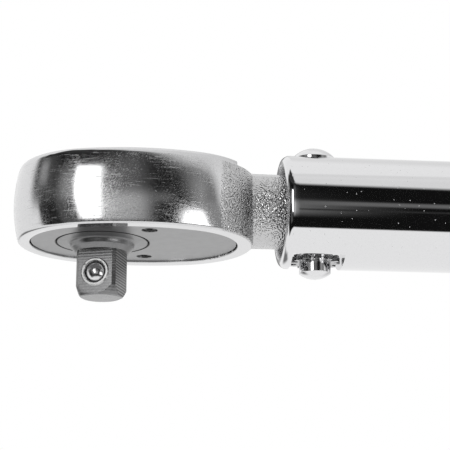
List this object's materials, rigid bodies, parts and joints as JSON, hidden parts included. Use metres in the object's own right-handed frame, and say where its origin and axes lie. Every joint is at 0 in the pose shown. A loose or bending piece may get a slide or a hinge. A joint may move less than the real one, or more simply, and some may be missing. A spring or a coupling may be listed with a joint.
{
  "type": "click torque wrench",
  "caption": "Click-type torque wrench with an oval reversible ratchet head, a square drive with a retaining ball, a chrome tube and a turning handle that sets the torque.",
  "frame": {"origin": "on the axis of the square drive, on the shoulder where a socket comes to rest", "axes": "-Z out along the square drive, +X along the tube from the drive to the handle"},
  "size_m": [0.2871, 0.029, 0.0257],
  "materials": {
    "chrome": "polished",
    "tube_chrome": "polished",
    "plate_steel": "satin",
    "drive_steel": "fine machined",
    "bright_steel": "ground",
    "dark_steel": "black oxide",
    "spring_steel": "satin",
    "handle_chrome": "satin, knurled",
    "guide_plastic": "matte"
  },
  "bodies": {
    "wrench_tube": {"tube": "tube_chrome", "pivot_pin": "bright_steel", "pivot_screw": "bright_steel", "lock_washer": "dark_steel", "screw_nut": "dark_steel", "nut_pins": "bright_steel", "main_spring": "spring_steel"},
    "head": {"ratchet_head": "chrome", "cover_plate": "plate_steel", "cover_screws": "dark_steel", "pawl_pin": "bright_steel"},
    "drive": {"drive_gear": "drive_steel", "drive_ball_spring": "spring_steel"},
    "ball": {"drive_ball": "bright_steel"},
    "pawl_body": {"pawl": "dark_steel"},
    "lever": {"reverse_lever": "chrome", "lever_clip": "spring_steel", "pawl_plunger_spring": "spring_steel"},
    "plunger_body": {"pawl_plunger": "bright_steel"},
    "push_body": {"push_plunger": "drive_steel"},
    "block": {"tilt_block": "bright_steel"},
    "carriage": {"spring_seat": "drive_steel", "thrust_ball": "bright_steel"},
    "handle": {"adjusting_screw": "drive_steel", "handle_sleeve": "handle_chrome", "guide_ring": "guide_plastic", "handle_set_screws": "dark_steel"},
    "rod": {"lock_rod": "bright_steel"},
    "upper_ball": {"lock_ball_upper": "bright_steel"},
    "lower_ball": {"lock_ball_lower": "bright_steel"},
    "knob": {"lock_knob": "handle_chrome"}
  },
  "joints": [
    {"name": "head_click", "type": "hinge", "parent": "wrench_tube", "child": "head", "pos_m": [0.033, 0, 0.0074], "axis": [0, 0, 1], "range_deg": [0, 2.01]},
    {"name": "plunger_push", "type": "slide", "parent": "wrench_tube", "child": "push_body", "axis": [1, 0, 0], "range_m": [0, 0.00135], "stiffness_N_per_m": 8000, "springref_m": -0.003, "deforming": ["main_spring"]},
    {"name": "block_tilt", "type": "hinge", "parent": "push_body", "child": "block", "pos_m": [0.0783, 0.0025, 0.0074], "axis": [0, 0, -1], "range_deg": [0, 15]},
    {"name": "drive_spin", "type": "hinge", "parent": "head", "child": "drive", "pos_m": [0, 0, 0], "axis": [0, 0, 1], "continuous": true},
    {"name": "ball_press", "type": "slide", "parent": "drive", "child": "ball", "axis": [0.342, 0.9397, 0], "range_m": [0, 0.0007], "stiffness_N_per_m": 2000, "springref_m": -0.0005, "deforming": ["drive_ball_spring"]},
    {"name": "lever_flip", "type": "hinge", "parent": "head", "child": "lever", "pos_m": [0.0156, 0, 0.0074], "axis": [0, 0, 1], "range_deg": [-60, 0]},
    {"name": "pawl_rock", "type": "hinge", "parent": "head", "child": "pawl_body", "pos_m": [0.0112, 0, 0.0074], "axis": [0, 0, 1], "range_deg": [0, 10]},
    {"name": "pawl_plunger_press", "type": "slide", "parent": "lever", "child": "plunger_body", "axis": [0.866, 0.5, 0], "range_m": [0, 0.0003], "stiffness_N_per_m": 1500, "springref_m": -0.0005, "deforming": ["pawl_plunger_spring"]},
    {"name": "handle_feed", "type": "slide", "parent": "wrench_tube", "child": "carriage", "axis": [1, 0, 0], "range_m": [-0.0195, 0], "deforming": ["main_spring"]},
    {"name": "handle_turn", "type": "hinge", "parent": "carriage", "child": "handle", "pos_m": [0.2, 0, 0.0074], "axis": [1, 0, 0], "range_deg": [-4680, 0]},
    {"name": "lock_feed", "type": "slide", "parent": "handle", "child": "rod", "axis": [-1, 0, 0], "range_m": [0, 0.00075]},
    {"name": "lock_turn", "type": "hinge", "parent": "rod", "child": "knob", "pos_m": [0.262, 0, 0.0074], "axis": [-1, 0, 0], "range_deg": [0, 360]},
    {"name": "upper_ball_spread", "type": "slide", "parent": "handle", "child": "upper_ball", "axis": [0, 0, 1], "range_m": [0, 0.000235]},
    {"name": "lower_ball_spread", "type": "slide", "parent": "handle", "child": "lower_ball", "axis": [0, 0, -1], "range_m": [0, 0.000235]}
  ],
  "couplings": [
    {"joint": "head_click", "follows": "plunger_push", "rad_per_m": 25.85},
    {"joint": "block_tilt", "follows": "plunger_push", "rad_per_m": 188.7},
    {"joint": "pawl_rock", "follows": "lever_flip", "ratio": -0.16667},
    {"joint": "handle_turn", "follows": "handle_feed", "rad_per_m": 4188.8},
    {"joint": "lock_turn", "follows": "lock_feed", "rad_per_m": 8377.6},
    {"joint": "upper_ball_spread", "follows": "lock_feed", "ratio": 0.3125},
    {"joint": "lower_ball_spread", "follows": "lock_feed", "ratio": 0.3125}
  ]
}
